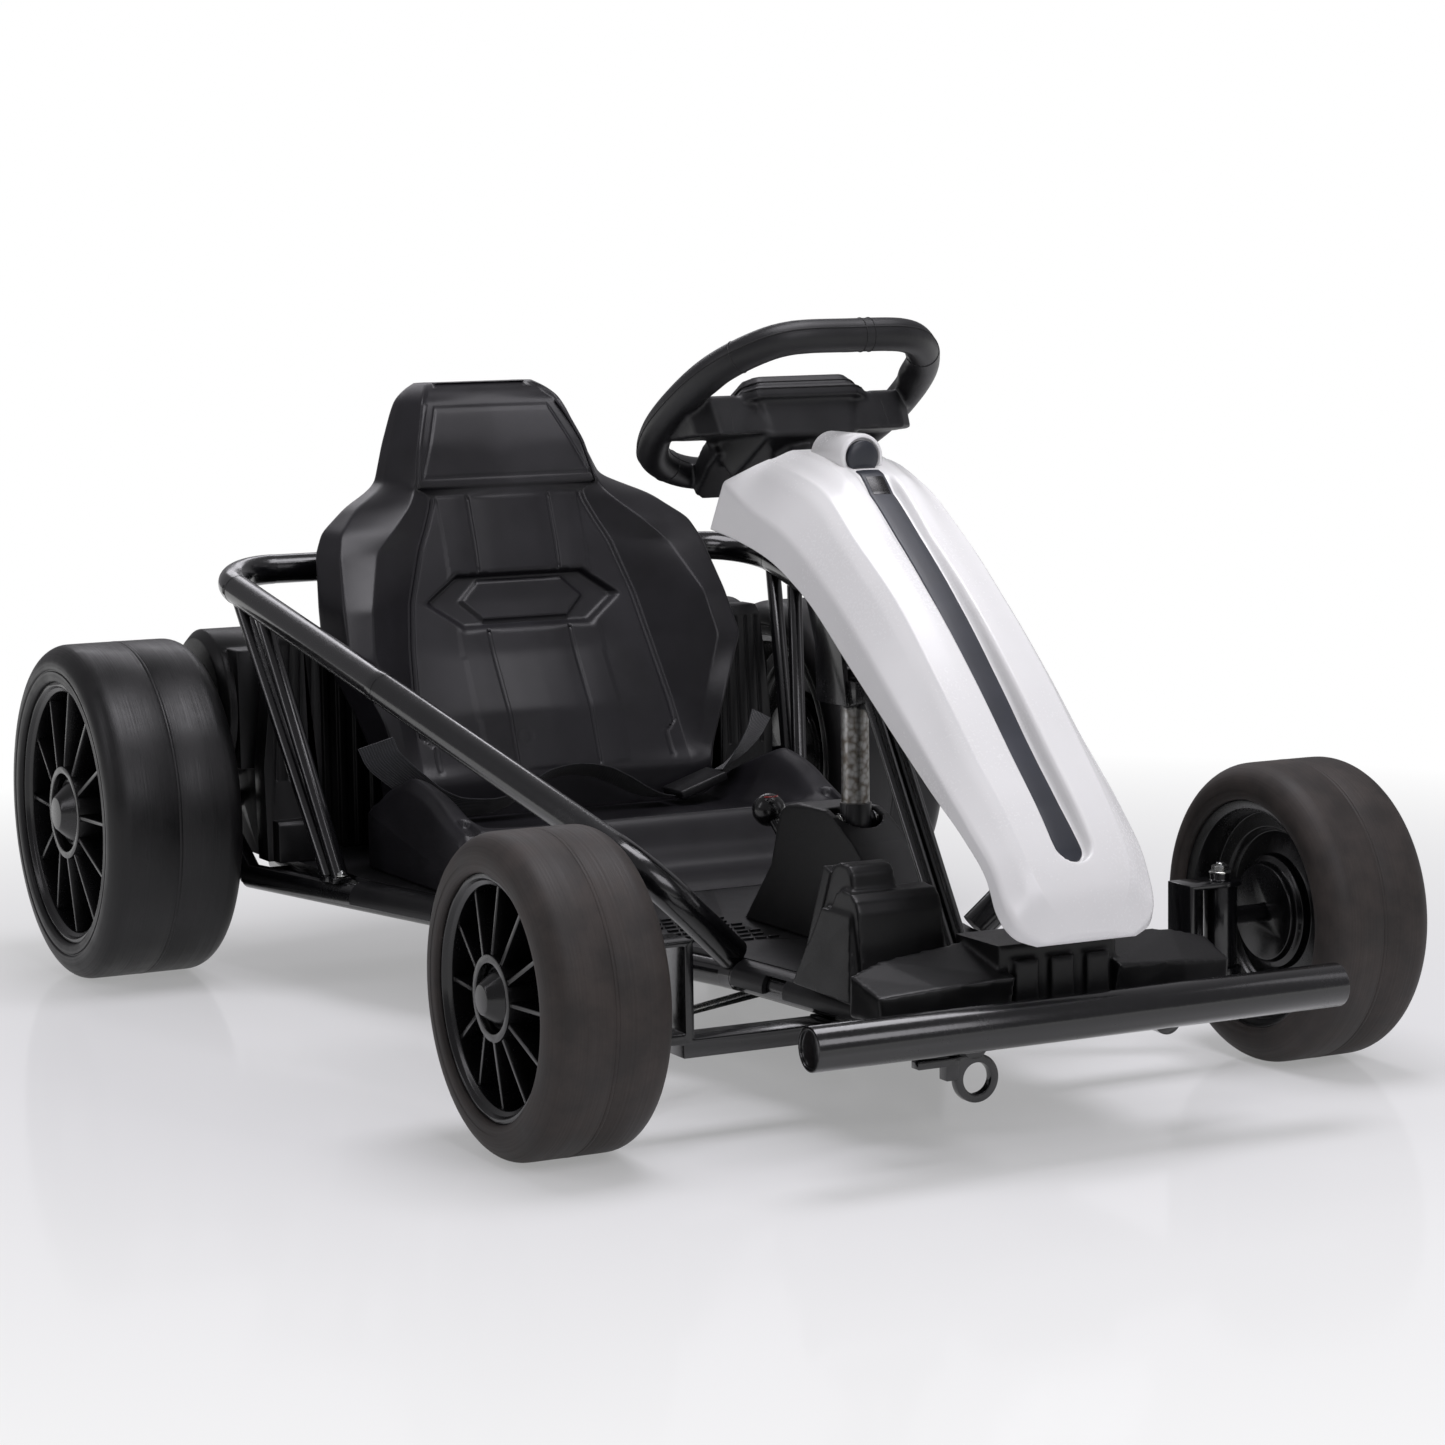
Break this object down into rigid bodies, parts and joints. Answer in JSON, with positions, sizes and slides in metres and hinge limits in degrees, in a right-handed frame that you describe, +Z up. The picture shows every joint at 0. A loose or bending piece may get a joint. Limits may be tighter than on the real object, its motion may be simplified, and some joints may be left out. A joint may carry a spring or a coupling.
{
  "type": "electric drift kart",
  "caption": "Child's electric drift kart: tube frame with side hoop, bucket seat, tilted steering column with white cover, spoked slick wheels.",
  "frame": {"origin": "middle of the footprint on the ground", "axes": "+X forward, +Y to the kart's left, +Z up"},
  "size_m": [1.364, 0.9566, 0.671],
  "materials": {
    "tube": "gloss black powder coat",
    "steel": "bare zinc-plated tube",
    "plastic": "satin black moulded plastic",
    "white_cover": "semi-gloss white moulded plastic",
    "insert": "satin black",
    "webbing": "black woven webbing",
    "front_rubber": "matte brown-black foam rubber",
    "rim": "gloss black moulded plastic",
    "rear_rubber": "glossy scuffed hard slick"
  },
  "bodies": {
    "chassis": {"lower_frame": "tube", "front_beam": "tube", "front_bumper": "tube", "side_hoop": "tube", "strut_pair_right": "tube", "strut_pair_left": "tube", "column_legs": "tube", "rear_axle": "steel", "floor_pan": "plastic", "nose_panel": "plastic", "tow_hook": "tube", "column_cover": "white_cover", "column_insert": "insert", "steering_box": "plastic", "pedal_housing": "plastic", "throttle_pedal": "plastic", "shift_lever": "plastic", "seat_back": "plastic", "seat_base": "plastic", "motor_cover_right": "plastic", "motor_cover_left": "plastic", "motor_housing_right": "plastic", "motor_housing_left": "plastic", "battery_block": "plastic", "lap_belt_right": "webbing", "lap_belt_left": "webbing", "belt_buckle": "plastic"},
    "steering_wheel": {"steering_wheel": "plastic", "upper_shaft": "tube"},
    "lower_shaft": {"lower_shaft": "steel"},
    "tie_rod_right": {"tie_rod_right": "steel"},
    "tie_rod_left": {"tie_rod_left": "steel"},
    "knuckle_right": {"knuckle_right": "tube"},
    "knuckle_left": {"knuckle_left": "tube"},
    "front_wheel_right": {"front_tyre_right": "front_rubber", "front_rim_right": "rim", "front_cap_right": "rim"},
    "rear_wheel_right": {"rear_tyre_right": "rear_rubber", "rear_rim_right": "rim", "rear_cap_right": "rim"},
    "front_wheel_left": {"front_tyre_left": "front_rubber", "front_rim_left": "rim", "front_cap_left": "rim"},
    "rear_wheel_left": {"rear_tyre_left": "rear_rubber", "rear_rim_left": "rim", "rear_cap_left": "rim"}
  },
  "joints": [
    {"name": "steering", "type": "hinge", "parent": "chassis", "child": "steering_wheel", "pos_m": [0.2925, 0, 0.381], "axis": [-0.5, 0, 0.866], "range_deg": [-25, 25]},
    {"name": "lower_shaft_turn", "type": "hinge", "parent": "chassis", "child": "lower_shaft", "pos_m": [0.2925, 0, 0.2], "axis": [0, 0, 1], "range_deg": [-25, 25]},
    {"name": "knuckle_right_turn", "type": "hinge", "parent": "chassis", "child": "knuckle_right", "pos_m": [0.4375, -0.29, 0.135], "axis": [0, 0, 1], "range_deg": [-25, 25]},
    {"name": "tie_rod_right_turn", "type": "hinge", "parent": "knuckle_right", "child": "tie_rod_right", "pos_m": [0.3675, -0.29, 0.078], "axis": [0, 0, 1], "range_deg": [-25, 25]},
    {"name": "front_wheel_right_spin", "type": "hinge", "parent": "knuckle_right", "child": "front_wheel_right", "pos_m": [0.4375, -0.3715, 0.135], "axis": [0, 1, 0], "continuous": true},
    {"name": "rear_wheel_right_spin", "type": "hinge", "parent": "chassis", "child": "rear_wheel_right", "pos_m": [-0.5115, -0.405, 0.1705], "axis": [0, 1, 0], "continuous": true},
    {"name": "knuckle_left_turn", "type": "hinge", "parent": "chassis", "child": "knuckle_left", "pos_m": [0.4375, 0.29, 0.135], "axis": [0, 0, 1], "range_deg": [-25, 25]},
    {"name": "tie_rod_left_turn", "type": "hinge", "parent": "knuckle_left", "child": "tie_rod_left", "pos_m": [0.3675, 0.29, 0.068], "axis": [0, 0, 1], "range_deg": [-25, 25]},
    {"name": "front_wheel_left_spin", "type": "hinge", "parent": "knuckle_left", "child": "front_wheel_left", "pos_m": [0.4375, 0.3715, 0.135], "axis": [0, 1, 0], "continuous": true},
    {"name": "rear_wheel_left_spin", "type": "hinge", "parent": "chassis", "child": "rear_wheel_left", "pos_m": [-0.5115, 0.405, 0.1705], "axis": [0, 1, 0], "continuous": true}
  ],
  "couplings": [
    {"joint": "lower_shaft_turn", "follows": "steering", "ratio": 1},
    {"joint": "knuckle_right_turn", "follows": "steering", "ratio": 1},
    {"joint": "tie_rod_right_turn", "follows": "steering", "ratio": -1},
    {"joint": "knuckle_left_turn", "follows": "steering", "ratio": 1},
    {"joint": "tie_rod_left_turn", "follows": "steering", "ratio": -1}
  ]
}
